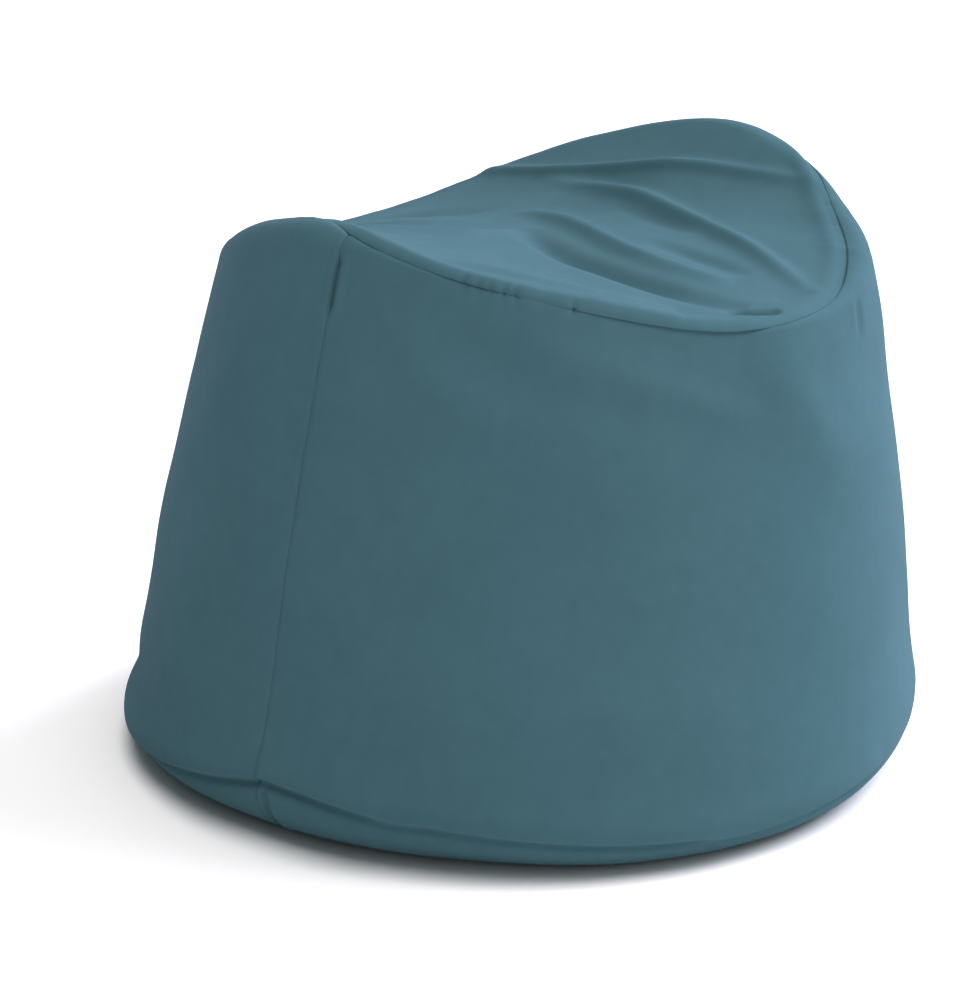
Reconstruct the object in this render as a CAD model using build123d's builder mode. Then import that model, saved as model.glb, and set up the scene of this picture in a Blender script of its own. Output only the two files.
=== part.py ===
from build123d import *
import os

os.makedirs("parts", exist_ok=True)

# All sizes are in millimetres. The origin is on the floor under the middle of the base, +Z is up,
# X runs through the two peaks with the higher one at +X, and the front of the seat faces -Y.

# The filled bag
foot_radius = 427.0  # where the sloping wall would meet the floor
top_radius = 292.0  # the same wall at top_height
top_height = 650.0  # the wall is drawn this high and then cut down to the seat
base_roll_radius = 62.0  # bulge of the wall where it rolls under
seat_height = 526.0  # middle of the seat
# Corner of wall and seat, before it is rounded, every 30 degrees round the bag from the high peak at +X
# towards the rear: high peak, rear dip at the fourth, low peak at the seventh, front dip at the tenth
rim_heights = [622.0, 594.0, 520.0, 491.0, 508.0, 552.0, 582.0, 534.0, 499.0, 491.0, 526.0, 590.0]
rim_reach = 310.0  # distance of the rim from the middle of the seat
rim_radius = 16.0  # roundness of the rim
seat_stretch = 1.05  # the seat slopes, so its layers lie this much further apart upright
seat_steps = 10  # the seat's surface is drawn through this many steps each way
front_slump = 46.0  # how far the top has settled towards the front, at top_height
side_slump = 10.0  # and towards the low peak

# Cloth and seams
cover_thickness = 2.0
liner_thickness = 0.8
layer_gap = 0.4  # between cover and liner, and between liner and fill
seam_gap = 0.3  # between the edges of two panels
rim_seam_inset = 12.0  # rim seam, measured in from the wall
base_seam_inset = 5.0  # base seam, measured in from where the base leaves the floor

# Recess under the base that keeps the zip off the floor
recess_length = 470.0
recess_width = 46.0
recess_ramp = 5.0  # length of ramp for each millimetre of rise
cover_recess_depth = 4.0
stack_clearance = 0.5  # between the two zips, and between the upper zip and the fill

# Cover zip, moulded teeth on woven tape
cover_zip = {
    "chain_length": 420.0,
    "pitch": 5.0,
    "tooth_length": 2.1,
    "tooth_head": 1.6,
    "tooth_heel": 3.0,
    "tooth_height": 2.6,
    "tape_width": 14.0,
    "tape_thickness": 0.8,
    "tape_tail": 14.0,
    "slot_width": 18.0,
    "stop_length": 3.0,
    "plate_thickness": 1.0,
    "channel_clearance": 0.2,
    "slider_length": 14.0,
    "slider_nose_width": 12.8,
    "slider_tail_width": 9.4,
    "slider_corner": 1.5,
    "post_length": 4.4,
    "post_width": 2.6,
    "flange_clearance": 0.3,
}

# Liner zip, the same kind in a lighter size
liner_zip = {
    "chain_length": 340.0,
    "pitch": 4.0,
    "tooth_length": 1.6,
    "tooth_head": 1.2,
    "tooth_heel": 2.2,
    "tooth_height": 2.0,
    "tape_width": 11.0,
    "tape_thickness": 0.6,
    "tape_tail": 12.0,
    "slot_width": 14.0,
    "stop_length": 2.4,
    "plate_thickness": 0.8,
    "channel_clearance": 0.2,
    "slider_length": 11.0,
    "slider_nose_width": 9.6,
    "slider_tail_width": 7.2,
    "slider_corner": 1.2,
    "post_length": 3.4,
    "post_width": 2.0,
    "flange_clearance": 0.3,
}
chain_clearance = 0.3  # along the chain, between teeth, stops and slider

# Pull of the cover zip
pin_radius = 0.7
pin_clearance = 0.05
pin_drop = 1.7  # pin centre below the slider's lower plate
lug_radius = 1.3
lug_thickness = 1.0
eye_radius = 1.4
eye_width = 4.4
eye_side_clearance = 0.3
pull_length = 24.0
pull_width = 7.0
pull_neck_length = 4.0
pull_thickness = 1.4
pull_hole_length = 8.0
pull_hole_width = 2.6
pull_corner = 2.0

# Sizes that follow from those above
wall_slope = (foot_radius - top_radius) / top_height
wall_stretch = (1 + wall_slope**2) ** 0.5
contact_radius = foot_radius - base_roll_radius * (wall_stretch + wall_slope)
base_seam_radius = contact_radius - base_seam_inset
liner_inset = cover_thickness + layer_gap
fill_inset = liner_inset + liner_thickness + layer_gap
# The slumped bag leans about the middle of its base
lean = Vector(-side_slump, -front_slump, top_height).normalized()
across = Vector(lean.Z, 0, -lean.X).normalized()
forwards = across.cross(lean)
section_plane = Plane(origin=(0, 0, 0), x_dir=forwards, z_dir=forwards.cross(lean))
seam_plane = Plane(origin=(0, 0, 0), x_dir=across, z_dir=forwards)
seat_centre = lean * (seat_height / lean.Z)


def zip_levels(zip_size, tape_low):
    """Heights of one zip's tape, teeth and slider plates, from the underside of its tape."""
    middle = tape_low + zip_size["tape_thickness"] / 2
    tooth_half = zip_size["tooth_height"] / 2
    channel_half = tooth_half + zip_size["channel_clearance"]
    return {
        "tape_low": tape_low,
        "tooth_low": middle - tooth_half,
        "channel_low": middle - channel_half,
        "channel_high": middle + channel_half,
        "slider_low": middle - channel_half - zip_size["plate_thickness"],
        "slider_high": middle + channel_half + zip_size["plate_thickness"],
    }


# The cover zip lies on the inside of the base, the liner zip clears its slider, the fill clears both
cover_levels = zip_levels(cover_zip, cover_recess_depth + cover_thickness)
liner_tape_low = (
    cover_levels["slider_high"]
    + stack_clearance
    + liner_zip["plate_thickness"]
    + liner_zip["channel_clearance"]
    + liner_zip["tooth_height"] / 2
    - liner_zip["tape_thickness"] / 2
)
liner_levels = zip_levels(liner_zip, liner_tape_low)
liner_recess_depth = liner_tape_low - liner_thickness - liner_inset
fill_recess_depth = liner_levels["slider_high"] + stack_clearance - fill_inset


def wall_body(inset):
    """Leaning tapered body, drawn in by inset, from below the floor up to top_height."""
    below = -2 * base_roll_radius
    low_radius = foot_radius - wall_slope * below - inset * wall_stretch
    high_radius = top_radius - inset * wall_stretch
    with BuildPart() as body:
        with BuildSketch(section_plane):
            Polygon(
                (0, below),
                (low_radius, below),
                (high_radius, top_height),
                (0, top_height),
                align=None,
            )
        revolve(axis=Axis((0, 0, 0), lean))
    return body.part


def rim_cutter(inset):
    """Upper half of the tapered body, used to part the seat from the sides along the rim seam."""
    with BuildPart() as cutter:
        add(wall_body(inset))
        split(bisect_by=Plane.XY.offset(seat_height / 2), keep=Keep.TOP)
    return cutter.part


def base_disc(radius):
    """Upright cylinder through the base, used to part the base from the sides."""
    with BuildPart() as disc:
        with BuildSketch(Plane.XY.offset(-base_roll_radius)):
            Circle(radius)
        extrude(amount=2 * base_roll_radius)
    return disc.part


def rim_height(place):
    """Height of the rim in the direction of a place in plan: the smooth wave through all the rim heights."""
    count = len(rim_heights)
    step_turn = Vector(1, 0).rotate(Axis.Z, 360 / count)
    way = place / max(abs(place), 1)
    total = 0
    for height in rim_heights:
        wave = 1 + (way ** (count // 2)).real + 2 * sum((way**k).real for k in range(1, count // 2))
        total += height * wave / count
        way = way / complex(step_turn.X, step_turn.Y)
    return total


def seat_hollow(inset):
    """What is cut off above the seat: it rises or falls to the rim with the square of the way out."""
    half = foot_radius
    steps = [2 * half * step / seat_steps - half for step in range(seat_steps + 1)]
    rows = []
    for y in steps:
        row = []
        for x in steps:
            place = complex(x, y)
            out = min(abs(place), half) / rim_reach
            level = seat_height + (rim_height(place) - seat_height) * out**2
            row.append((seat_centre.X + x, seat_centre.Y + y, level - inset * seat_stretch))
        rows.append(row)
    surface = Face.make_surface_from_array_of_points(rows)
    return Solid.extrude(surface, Vector(0, 0, top_height))


def bag_form(inset, recess_depth):
    """The filled bag drawn in by inset all round, with the recess for the zip under its base."""
    ramp = 2 * recess_ramp * recess_depth
    with BuildPart() as form:
        add(wall_body(inset))
        split(bisect_by=Plane.XY.offset(inset), keep=Keep.TOP)
        fillet(form.edges().group_by(Axis.Z)[0], base_roll_radius - inset)
        add(seat_hollow(inset), mode=Mode.SUBTRACT)
        fillet(form.faces().sort_by(Axis.Z)[-1].edges(), rim_radius - inset)
        with BuildSketch(Plane.XY.offset(inset)):
            Rectangle(recess_length + ramp, recess_width + ramp)
        with BuildSketch(Plane.XY.offset(inset + recess_depth)):
            Rectangle(recess_length, recess_width)
        loft(ruled=True, mode=Mode.SUBTRACT)
    return form.part


def seat_cloth(outside, inside):
    """Top panel: the cloth within the rim seam."""
    with BuildPart() as cloth:
        add(outside)
        add(rim_cutter(rim_seam_inset + seam_gap / 2), mode=Mode.INTERSECT)
        add(inside, mode=Mode.SUBTRACT)
    return cloth.part


def side_cloth(outside, inside, keep):
    """Front or rear side panel: from the rim seam down to the base seam, parted at the two peaks."""
    middle = seam_plane.offset(seam_gap / 2 if keep == Keep.TOP else -seam_gap / 2)
    with BuildPart() as cloth:
        add(outside)
        split(bisect_by=middle, keep=keep)
        add(rim_cutter(rim_seam_inset - seam_gap / 2), mode=Mode.SUBTRACT)
        add(base_disc(base_seam_radius + seam_gap / 2), mode=Mode.SUBTRACT)
        add(inside, mode=Mode.SUBTRACT)
    return cloth.part


def base_cloth(outside, inside, keep, zip_size):
    """Front or rear half of the base, parted along the zip and cut back from its teeth and slider."""
    middle = Plane.XZ.offset(seam_gap / 2 if keep == Keep.TOP else -seam_gap / 2)
    slot_length = zip_size["chain_length"] + 2 * zip_size["slider_length"]
    with BuildPart() as cloth:
        add(outside)
        add(base_disc(base_seam_radius - seam_gap / 2), mode=Mode.INTERSECT)
        add(inside, mode=Mode.SUBTRACT)
        with BuildSketch(Plane.XY):
            Rectangle(slot_length, zip_size["slot_width"])
        extrude(amount=base_roll_radius, mode=Mode.SUBTRACT)
        split(bisect_by=middle, keep=keep)
    return cloth.part


def zip_slider_x(zip_size):
    """Where the closed slider's middle lies along the chain: its post is just past the last tooth."""
    post_start = zip_size["slider_length"] / 2 - zip_size["post_length"] - 1.0
    return zip_size["chain_length"] / 2 + chain_clearance - post_start


def tape_strip(zip_size, levels, side):
    """One woven tape, its inner edge at the heels of its teeth."""
    length = zip_size["chain_length"] + 2 * (zip_size["slider_length"] + zip_size["tape_tail"])
    middle = side * (zip_size["tooth_heel"] + zip_size["tape_width"] / 2)
    with BuildPart() as tape:
        with BuildSketch(Plane.XY.offset(levels["tape_low"])):
            with Locations((0, middle)):
                Rectangle(length, zip_size["tape_width"])
        extrude(amount=zip_size["tape_thickness"])
    return tape.part


def tooth_row(zip_size, levels, side):
    """One row of teeth; the rear row sits half a pitch along so that the two rows interlock."""
    pitch = zip_size["pitch"]
    count = int(zip_size["chain_length"] / pitch)
    width = zip_size["tooth_head"] + zip_size["tooth_heel"]
    middle = side * (zip_size["tooth_heel"] - zip_size["tooth_head"]) / 2
    with BuildPart() as row:
        with BuildSketch(Plane.XY.offset(levels["tooth_low"])):
            with Locations((side * pitch / 4, middle)):
                with GridLocations(pitch, 0, count, 1):
                    Rectangle(zip_size["tooth_length"], width)
        extrude(amount=zip_size["tooth_height"])
    return row.part


def bottom_stop(zip_size, levels):
    """Block that joins both tapes below the first tooth."""
    length = zip_size["stop_length"]
    middle = -zip_size["chain_length"] / 2 - chain_clearance - length / 2
    with BuildPart() as stop:
        with BuildSketch(Plane.XY.offset(levels["tooth_low"])):
            with Locations((middle, 0)):
                Rectangle(length, 2 * zip_size["tooth_heel"])
        extrude(amount=zip_size["tooth_height"])
    return stop.part


def top_stops(zip_size, levels):
    """Two blocks, one on each tape, beside the post of the closed slider."""
    length = zip_size["stop_length"]
    inner = zip_size["post_width"] / 2 + chain_clearance
    outer = zip_size["tooth_heel"]
    middle = zip_size["chain_length"] / 2 + 2 * chain_clearance + length / 2
    with BuildPart() as stops:
        with BuildSketch(Plane.XY.offset(levels["tooth_low"])):
            with Locations((middle, (inner + outer) / 2), (middle, -(inner + outer) / 2)):
                Rectangle(length, outer - inner)
        extrude(amount=zip_size["tooth_height"])
    return stops.part


def slider_body(zip_size, levels):
    """Two plates joined by a post at the nose, with flanges that hold the closed chain at the tail."""
    at = zip_slider_x(zip_size)
    half = zip_size["slider_length"] / 2
    nose = zip_size["slider_nose_width"] / 2
    tail = zip_size["slider_tail_width"] / 2
    post_end = at + half - 1.0
    post_start = post_end - zip_size["post_length"]
    post_half = zip_size["post_width"] / 2
    post_wide = (post_start + 2 * post_end) / 3
    flange_inner = zip_size["tooth_heel"] + zip_size["flange_clearance"]
    flange_length = half - 1.0
    tape_low = levels["tape_low"] - zip_size["flange_clearance"]
    tape_high = levels["tape_low"] + zip_size["tape_thickness"] + zip_size["flange_clearance"]
    outline = [
        (at - half, -tail),
        (at - half * 0.2, -tail),
        (at + half * 0.4, -nose),
        (at + half, -nose),
        (at + half, nose),
        (at + half * 0.4, nose),
        (at - half * 0.2, tail),
        (at - half, tail),
    ]
    with BuildPart() as slider:
        for low in (levels["slider_low"], levels["channel_high"]):
            with BuildSketch(Plane.XY.offset(low)) as plate:
                Polygon(*outline, align=None)
                fillet(plate.vertices(), zip_size["slider_corner"])
            extrude(amount=zip_size["plate_thickness"])
        with BuildSketch(Plane.XY.offset(levels["channel_low"])):
            Polygon(
                (post_start, 0),
                (post_wide, -post_half),
                (post_end, -post_half),
                (post_end, post_half),
                (post_wide, post_half),
                align=None,
            )
        extrude(amount=levels["channel_high"] - levels["channel_low"])
        for low, high in ((levels["channel_low"], tape_low), (tape_high, levels["channel_high"])):
            with BuildSketch(Plane.XY.offset(low)):
                middle = (flange_inner + tail) / 2
                start = at - half + zip_size["slider_corner"]
                with Locations((start + flange_length / 2, middle), (start + flange_length / 2, -middle)):
                    Rectangle(flange_length, tail - flange_inner)
            extrude(amount=high - low)
    return slider.part


# Closed forms that the layers are cut from
cover_outside = bag_form(0, cover_recess_depth)
cover_inside = bag_form(cover_thickness, cover_recess_depth)
liner_outside = bag_form(liner_inset, liner_recess_depth)
liner_inside = bag_form(liner_inset + liner_thickness, liner_recess_depth)

# Cover: five sewn panels
with BuildPart() as seat_panel:
    add(seat_cloth(cover_outside, cover_inside))
seat_panel.part.label = "seat_panel"

with BuildPart() as front_side_panel:
    add(side_cloth(cover_outside, cover_inside, Keep.TOP))
front_side_panel.part.label = "front_side_panel"

with BuildPart() as rear_side_panel:
    add(side_cloth(cover_outside, cover_inside, Keep.BOTTOM))
rear_side_panel.part.label = "rear_side_panel"

with BuildPart() as base_panel_front:
    add(base_cloth(cover_outside, cover_inside, Keep.TOP, cover_zip))
base_panel_front.part.label = "base_panel_front"

with BuildPart() as base_panel_rear:
    add(base_cloth(cover_outside, cover_inside, Keep.BOTTOM, cover_zip))
base_panel_rear.part.label = "base_panel_rear"

# Cover zip
with BuildPart() as zip_tape_front:
    add(tape_strip(cover_zip, cover_levels, -1))
zip_tape_front.part.label = "zip_tape_front"

with BuildPart() as zip_tape_rear:
    add(tape_strip(cover_zip, cover_levels, 1))
zip_tape_rear.part.label = "zip_tape_rear"

with BuildPart() as zip_teeth_front:
    add(tooth_row(cover_zip, cover_levels, -1))
zip_teeth_front.part.label = "zip_teeth_front"

with BuildPart() as zip_teeth_rear:
    add(tooth_row(cover_zip, cover_levels, 1))
zip_teeth_rear.part.label = "zip_teeth_rear"

with BuildPart() as zip_bottom_stop:
    add(bottom_stop(cover_zip, cover_levels))
zip_bottom_stop.part.label = "zip_bottom_stop"

with BuildPart() as zip_top_stops:
    add(top_stops(cover_zip, cover_levels))
zip_top_stops.part.label = "zip_top_stops"

# Slider with two lugs and the pin that the pull swings on
pin_x = zip_slider_x(cover_zip)
pin_z = cover_levels["slider_low"] - pin_drop
lug_inner = eye_width / 2 + eye_side_clearance
lug_outer = lug_inner + lug_thickness
with BuildPart() as zip_slider:
    add(slider_body(cover_zip, cover_levels))
    for side in (1, -1):
        with BuildSketch(Plane.XZ.offset(side * (lug_inner + lug_outer) / 2)):
            with Locations((pin_x, pin_z)):
                Circle(lug_radius)
            with Locations((pin_x, pin_z + pin_drop / 2)):
                Rectangle(2 * lug_radius, pin_drop)
        extrude(amount=lug_thickness / 2, both=True)
    with BuildSketch(Plane.XZ):
        with Locations((pin_x, pin_z)):
            Circle(pin_radius)
    extrude(amount=lug_outer, both=True)
zip_slider.part.label = "zip_slider"

# Pull: an eye round the pin and a flat tab that lies along the chain
with BuildPart() as zip_pull:
    with BuildSketch(Plane.XZ):
        with Locations((pin_x, pin_z)):
            Circle(eye_radius)
    extrude(amount=eye_width / 2, both=True)
    with BuildSketch(Plane.XY.offset(pin_z - pull_thickness / 2)):
        with Locations((pin_x - pull_neck_length / 2, 0)):
            Rectangle(pull_neck_length, eye_width)
        with Locations((pin_x - (pull_neck_length + pull_length) / 2, 0)):
            RectangleRounded(pull_length - pull_neck_length, pull_width, pull_corner)
        with Locations((pin_x - pull_length + pull_hole_length / 2 + pull_corner, 0)):
            SlotOverall(pull_hole_length, pull_hole_width, mode=Mode.SUBTRACT)
    extrude(amount=pull_thickness)
    with BuildSketch(Plane.XZ):
        with Locations((pin_x, pin_z)):
            Circle(pin_radius + pin_clearance)
    extrude(amount=eye_width, both=True, mode=Mode.SUBTRACT)
zip_pull.part.label = "zip_pull"

# Liner: the inner bag, cut to the same five panels
with BuildPart() as liner_seat_panel:
    add(seat_cloth(liner_outside, liner_inside))
liner_seat_panel.part.label = "liner_seat_panel"

with BuildPart() as liner_front_panel:
    add(side_cloth(liner_outside, liner_inside, Keep.TOP))
liner_front_panel.part.label = "liner_front_panel"

with BuildPart() as liner_rear_panel:
    add(side_cloth(liner_outside, liner_inside, Keep.BOTTOM))
liner_rear_panel.part.label = "liner_rear_panel"

with BuildPart() as liner_base_front:
    add(base_cloth(liner_outside, liner_inside, Keep.TOP, liner_zip))
liner_base_front.part.label = "liner_base_front"

with BuildPart() as liner_base_rear:
    add(base_cloth(liner_outside, liner_inside, Keep.BOTTOM, liner_zip))
liner_base_rear.part.label = "liner_base_rear"

# Liner zip, with a slider that has no pull
with BuildPart() as liner_zip_tape_front:
    add(tape_strip(liner_zip, liner_levels, -1))
liner_zip_tape_front.part.label = "liner_zip_tape_front"

with BuildPart() as liner_zip_tape_rear:
    add(tape_strip(liner_zip, liner_levels, 1))
liner_zip_tape_rear.part.label = "liner_zip_tape_rear"

with BuildPart() as liner_zip_teeth_front:
    add(tooth_row(liner_zip, liner_levels, -1))
liner_zip_teeth_front.part.label = "liner_zip_teeth_front"

with BuildPart() as liner_zip_teeth_rear:
    add(tooth_row(liner_zip, liner_levels, 1))
liner_zip_teeth_rear.part.label = "liner_zip_teeth_rear"

with BuildPart() as liner_zip_bottom_stop:
    add(bottom_stop(liner_zip, liner_levels))
liner_zip_bottom_stop.part.label = "liner_zip_bottom_stop"

with BuildPart() as liner_zip_top_stops:
    add(top_stops(liner_zip, liner_levels))
liner_zip_top_stops.part.label = "liner_zip_top_stops"

with BuildPart() as liner_zip_slider:
    add(slider_body(liner_zip, liner_levels))
liner_zip_slider.part.label = "liner_zip_slider"

# Fill: the mass of loose beads, as the one body that they settle into
with BuildPart() as bead_fill:
    add(bag_form(fill_inset, fill_recess_depth))
bead_fill.part.label = "bead_fill"

export_step(seat_panel.part, "parts/seat_panel.step")
export_step(front_side_panel.part, "parts/front_side_panel.step")
export_step(rear_side_panel.part, "parts/rear_side_panel.step")
export_step(base_panel_front.part, "parts/base_panel_front.step")
export_step(base_panel_rear.part, "parts/base_panel_rear.step")
export_step(zip_tape_front.part, "parts/zip_tape_front.step")
export_step(zip_tape_rear.part, "parts/zip_tape_rear.step")
export_step(zip_teeth_front.part, "parts/zip_teeth_front.step")
export_step(zip_teeth_rear.part, "parts/zip_teeth_rear.step")
export_step(zip_bottom_stop.part, "parts/zip_bottom_stop.step")
export_step(zip_top_stops.part, "parts/zip_top_stops.step")
export_step(zip_slider.part, "parts/zip_slider.step")
export_step(zip_pull.part, "parts/zip_pull.step")
export_step(liner_seat_panel.part, "parts/liner_seat_panel.step")
export_step(liner_front_panel.part, "parts/liner_front_panel.step")
export_step(liner_rear_panel.part, "parts/liner_rear_panel.step")
export_step(liner_base_front.part, "parts/liner_base_front.step")
export_step(liner_base_rear.part, "parts/liner_base_rear.step")
export_step(liner_zip_tape_front.part, "parts/liner_zip_tape_front.step")
export_step(liner_zip_tape_rear.part, "parts/liner_zip_tape_rear.step")
export_step(liner_zip_teeth_front.part, "parts/liner_zip_teeth_front.step")
export_step(liner_zip_teeth_rear.part, "parts/liner_zip_teeth_rear.step")
export_step(liner_zip_bottom_stop.part, "parts/liner_zip_bottom_stop.step")
export_step(liner_zip_top_stops.part, "parts/liner_zip_top_stops.step")
export_step(liner_zip_slider.part, "parts/liner_zip_slider.step")
export_step(bead_fill.part, "parts/bead_fill.step")
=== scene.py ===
import math

import bpy
import numpy as np
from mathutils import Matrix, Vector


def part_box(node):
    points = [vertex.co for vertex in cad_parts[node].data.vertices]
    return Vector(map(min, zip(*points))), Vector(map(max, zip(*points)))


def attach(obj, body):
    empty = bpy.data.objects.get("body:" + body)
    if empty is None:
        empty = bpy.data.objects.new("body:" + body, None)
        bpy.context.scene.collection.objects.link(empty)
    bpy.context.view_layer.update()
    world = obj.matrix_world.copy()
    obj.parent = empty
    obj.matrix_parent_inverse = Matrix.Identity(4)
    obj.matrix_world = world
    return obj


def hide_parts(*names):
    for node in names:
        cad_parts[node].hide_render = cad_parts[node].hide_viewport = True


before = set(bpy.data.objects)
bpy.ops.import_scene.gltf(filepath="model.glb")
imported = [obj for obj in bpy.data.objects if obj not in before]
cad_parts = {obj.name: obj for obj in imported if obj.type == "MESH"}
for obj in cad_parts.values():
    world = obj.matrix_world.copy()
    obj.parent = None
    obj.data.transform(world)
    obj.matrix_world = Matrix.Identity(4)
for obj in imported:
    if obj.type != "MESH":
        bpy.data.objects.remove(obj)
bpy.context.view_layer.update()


# Bead fill: loose polystyrene beads that give the bag its slumped, tapered shape.
# The beads are poured into the liner, so the fill takes its form from the cloth round it:
# a flat base, a rolled foot, a leaning conical wall and a saddle between two peaks.
foot_radius = 0.424
top_radius = 0.2887
taper_height = 0.65
wall_bulge = 0.0053
slump = np.array([-0.012, -0.046])
seat_height = 0.5264
# Height of the rim every 15 degrees round the bag, from the high peak at +X towards +Y
rim_steps = [
    0.628, 0.609, 0.587, 0.552, 0.517, 0.498, 0.491, 0.494, 0.508, 0.534, 0.562, 0.576,
    0.575, 0.553, 0.534, 0.515, 0.498, 0.488, 0.490, 0.501, 0.523, 0.546, 0.587, 0.617,
]
rim_waves = np.arange(1, 10)
# Roundness of the crest and of the foot round the bag: (degrees, radius)
crest_stops = [
    (0, 0.026), (40, 0.024), (80, 0.012), (100, 0.010), (125, 0.028), (145, 0.036),
    (166, 0.032), (180, 0.024), (190, 0.015), (205, 0.010), (225, 0.012), (250, 0.014),
    (268, 0.014), (285, 0.019), (305, 0.024), (330, 0.026), (360, 0.026),
]
foot_stops = [
    (0, 0.050), (60, 0.050), (110, 0.046), (136, 0.042), (155, 0.046), (168, 0.056),
    (180, 0.062), (195, 0.063), (210, 0.062), (218, 0.057), (226, 0.047), (240, 0.044),
    (262, 0.043), (275, 0.049), (290, 0.058), (305, 0.060), (345, 0.054), (360, 0.050),
]
stop_blur = np.radians(6.0)
lean_height = 0.03  # where the wall's lean is read for the foot
fit_steps = 40
fill_inset = 0.020
fill_turns = 96
fill_profile = 60


def wave_table(turn):
    """One column for each term of a Fourier series: a constant, then cosines, then sines."""
    angle = np.asarray(turn)[..., None] * rim_waves
    return np.concatenate([np.ones(angle.shape[:-1] + (1,)), np.cos(angle), np.sin(angle)], -1)


step_turns = np.radians(15.0 * np.arange(24))
rim_series = np.linalg.lstsq(wave_table(step_turns), np.array(rim_steps), rcond=None)[0]


def rim_height(turn):
    """Height of the corner of wall and seat: the Fourier series through the measured steps."""
    return wave_table(turn) @ rim_series


def round_bag(stops, turn):
    """Value at a turn: the stops joined by lines round the bag, then blurred by a bell curve."""
    places, values = np.array(stops, float).T
    ticks = np.arange(720) / 2
    waves = np.fft.rfft(np.interp(ticks, places, values))
    blur = np.exp(-0.5 * (np.arange(len(waves)) * stop_blur) ** 2)
    table = np.fft.irfft(waves * blur, 720)
    return np.interp(np.degrees(turn) % 360, np.append(ticks, 360), np.append(table, table[0]))


def wall_radius(height):
    """Cone from foot to top, plus a bulge that follows the square of a half sine wave up the wall."""
    share = np.clip(height / taper_height, 0.0, 1.0)
    cone = foot_radius + (top_radius - foot_radius) * height / taper_height
    return cone + wall_bulge * np.sin(np.pi * share) ** 2


def wall_lean(height):
    """Change of the wall's radius for each metre of height."""
    step = 1e-4
    return (wall_radius(height + step) - wall_radius(height - step)) / (2 * step)


def seat_rise(radius, turn):
    """Saddle: middle height plus the rim's rise or fall times the square of the way out to the wall."""
    edge = rim_height(turn)
    share = np.maximum(radius, 0.0) / wall_radius(edge)
    return seat_height + (edge - seat_height) * share**2


def crest_fit(turn):
    """Where the crest's arc leaves the wall and meets the seat, by stepping both tangents together."""
    turn = np.asarray(turn, float)
    arc = round_bag(crest_stops, turn)
    edge = rim_height(turn)
    reach_out = wall_radius(edge)
    high = np.full_like(turn, seat_height)
    inner = np.full_like(turn, top_radius)
    for _ in range(fit_steps):
        lean = wall_lean(high)
        up = np.stack([lean, np.ones_like(lean)]) / np.sqrt(1 + lean**2)
        share = inner / reach_out
        level = seat_height + (edge - seat_height) * share**2
        slope = 2 * (edge - seat_height) * share / reach_out
        inward = np.stack([-np.ones_like(slope), -slope]) / np.sqrt(1 + slope**2)
        across, rise = inner - wall_radius(high), level - high
        turned = up[1] * inward[0] - up[0] * inward[1]
        along = (rise * inward[0] - across * inward[1]) / turned
        corner = np.stack([wall_radius(high), high]) + along * up
        bend = np.arccos(np.clip((up * inward).sum(0), -1, 1))
        cut = arc * np.tan(bend / 2)
        high = 0.5 * high + 0.5 * (corner[1] - cut * up[1])
        inner = 0.5 * inner + 0.5 * (corner[0] + cut * inward[0])
    return {"arc": arc, "high": high, "inner": inner, "bend": bend, "up": up, "slope": slope}


def over_crest(turn, run, fit):
    """Radius and height at a run in metres past the wall's top: round the arc, then in over the seat."""
    angle = np.minimum(run / fit["arc"], fit["bend"])
    foot_r, foot_z = wall_radius(fit["high"]), fit["high"]
    middle_r = foot_r - fit["arc"] * fit["up"][1]
    middle_z = foot_z + fit["arc"] * fit["up"][0]
    start = np.arctan2(-fit["up"][0], fit["up"][1])
    arc_r = middle_r + fit["arc"] * np.cos(start + angle)
    arc_z = middle_z + fit["arc"] * np.sin(start + angle)
    past = np.maximum(run - fit["arc"] * fit["bend"], 0.0)
    seat_r = np.maximum(fit["inner"] - past / np.sqrt(1 + fit["slope"] ** 2), 0.0)
    on_seat = past > 0
    return np.where(on_seat, seat_r, arc_r), np.where(on_seat, seat_rise(seat_r, turn), arc_z)


def foot_profile(turn, rows):
    """Contact radius, then radius and height of the rolled foot: an arc from the floor up to the wall."""
    roll = round_bag(foot_stops, turn)
    lean = wall_lean(np.array(lean_height))
    bend = np.arccos(lean / np.sqrt(1 + lean**2))
    contact = foot_radius - roll * np.tan(bend / 2)
    angle = np.linspace(0, bend, rows)
    return contact, contact + roll * np.sin(angle), roll * (1 - np.cos(angle))


def stand(turn, radius, height):
    """Point in the frame: polar coordinates, moved sideways in step with height for the slump."""
    move = height / taper_height
    return np.stack([
        radius * np.cos(turn) + slump[0] * move,
        radius * np.sin(turn) + slump[1] * move,
        height,
    ], -1)


def grid_normals(points):
    """Unit normals of a grid of points, from the cross product of its two directions."""
    normal = np.cross(np.gradient(points, axis=0), np.gradient(points, axis=1))
    return normal / np.maximum(np.linalg.norm(normal, axis=-1, keepdims=True), 1e-12)


def put_mesh(name, points, faces):
    """New object at the origin with these points and four- or three-cornered faces, shaded smooth."""
    mesh = bpy.data.meshes.new(name)
    mesh.from_pydata(points.reshape(-1, 3).tolist(), [], faces)
    mesh.polygons.foreach_set("use_smooth", np.ones(len(mesh.polygons), bool))
    mesh.update()
    made = bpy.data.objects.new(name, mesh)
    bpy.context.scene.collection.objects.link(made)
    return made


def grid_faces(rows, columns, flip=False, wrap=False):
    """Quads of a grid: each joins a point to the next both ways; wrap closes the first way."""
    index = np.arange(rows * columns).reshape(rows, columns)
    after = np.roll(index, -1, axis=0)
    if not wrap:
        index, after = index[:-1], after[:-1]
    quads = np.stack([index[:, :-1], after[:, :-1], after[:, 1:], index[:, 1:]], -1).reshape(-1, 4)
    return (quads[:, ::-1] if flip else quads).tolist()


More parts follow.
